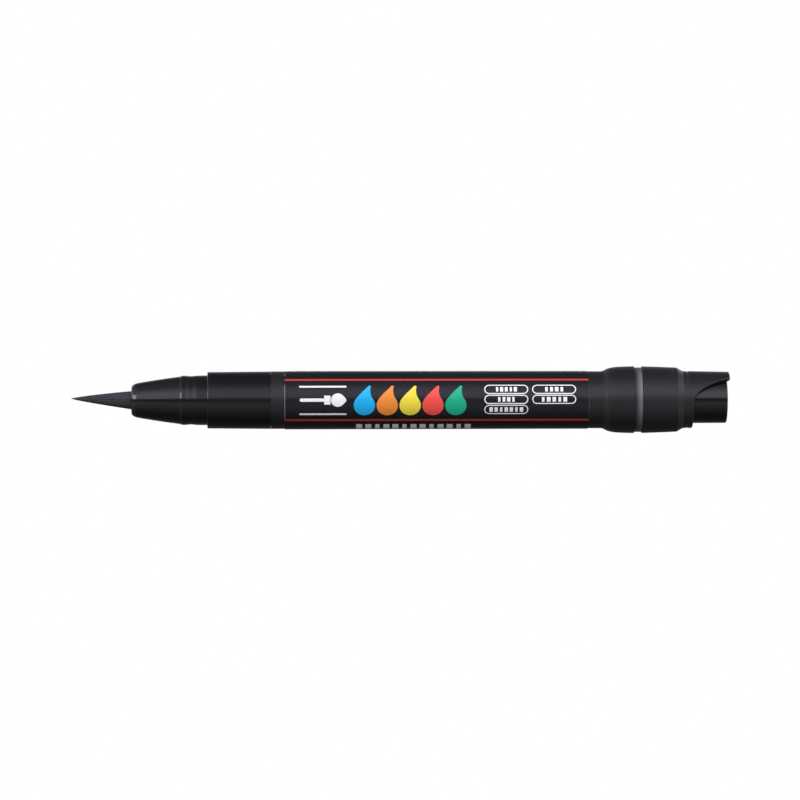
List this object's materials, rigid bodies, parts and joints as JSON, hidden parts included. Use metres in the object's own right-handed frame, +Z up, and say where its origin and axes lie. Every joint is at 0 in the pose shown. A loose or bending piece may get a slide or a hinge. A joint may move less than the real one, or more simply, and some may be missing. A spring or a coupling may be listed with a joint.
{
  "type": "brush pen",
  "caption": "Slim valve-action brush pen, uncapped, with a tapered tuft, a labelled barrel, a flared tail with a smoke-grey ring, and a push button under a quill-cut shroud.",
  "frame": {"origin": "the middle of the pen's length, on its axis", "axes": "+X along the pen towards the push button, +Z up through the shroud's tongue, -Y out of the printed side of the label"},
  "size_m": [0.1678, 0.017, 0.017],
  "materials": {
    "tuft": "black nylon bristles, wet-combed to a point",
    "gloss_shell": "polished black moulding",
    "satin_shell": "satin black moulding",
    "matte_shell": "fine matt black moulding",
    "label_film": "black printed film, soft gloss",
    "smoke_ring": "translucent smoke grey",
    "inner_plastic": "natural white moulding",
    "seal_rubber": "soft black rubber",
    "spring_steel": "drawn stainless wire",
    "ball_steel": "polished steel"
  },
  "bodies": {
    "pen_body": {"brush_root": "tuft", "brush_ferrule": "inner_plastic", "nose_cone": "gloss_shell", "ferrule_lock": "inner_plastic", "feed_tube": "inner_plastic", "feed_bush": "inner_plastic", "nose_seal": "seal_rubber", "front_collar": "satin_shell", "valve_seat": "inner_plastic", "valve_cage": "inner_plastic", "valve_spring": "spring_steel", "barrel": "matte_shell", "label": "label_film", "tank_plug": "inner_plastic", "rod_seal": "seal_rubber", "seal_cap": "inner_plastic", "clear_ring": "smoke_ring", "guide_bush": "matte_shell", "tail_housing": "matte_shell", "button_shroud": "matte_shell", "return_spring": "spring_steel"},
    "tuft": {"brush_tip": "tuft"},
    "button": {"push_button": "gloss_shell", "push_rod": "inner_plastic"},
    "valve": {"valve_stem": "inner_plastic", "valve_gasket": "seal_rubber", "stem_collar": "inner_plastic"},
    "ball": {"mixing_ball": "ball_steel"}
  },
  "joints": [
    {"name": "button_press", "type": "slide", "parent": "pen_body", "child": "button", "axis": [-1, 0, 0], "range_m": [0, 0.003], "stiffness_N_per_m": 400, "springref_m": -0.002, "deforming": ["return_spring"]},
    {"name": "valve_open", "type": "slide", "parent": "pen_body", "child": "valve", "axis": [-1, 0, 0], "range_m": [0, 0.003], "stiffness_N_per_m": 150, "springref_m": -0.001, "deforming": ["valve_spring"]},
    {"name": "ball_roll", "type": "slide", "parent": "pen_body", "child": "ball", "axis": [1, 0, 0], "range_m": [-0.031, 0.036]},
    {"name": "brush_flex", "type": "hinge", "parent": "pen_body", "child": "tuft", "pos_m": [-0.068, 0, 0], "axis": [0, 1, 0], "range_deg": [-28, 28], "stiffness_Nm_per_rad": 0.002}
  ],
  "couplings": [
    {"joint": "valve_open", "follows": "button_press", "ratio": 1}
  ]
}
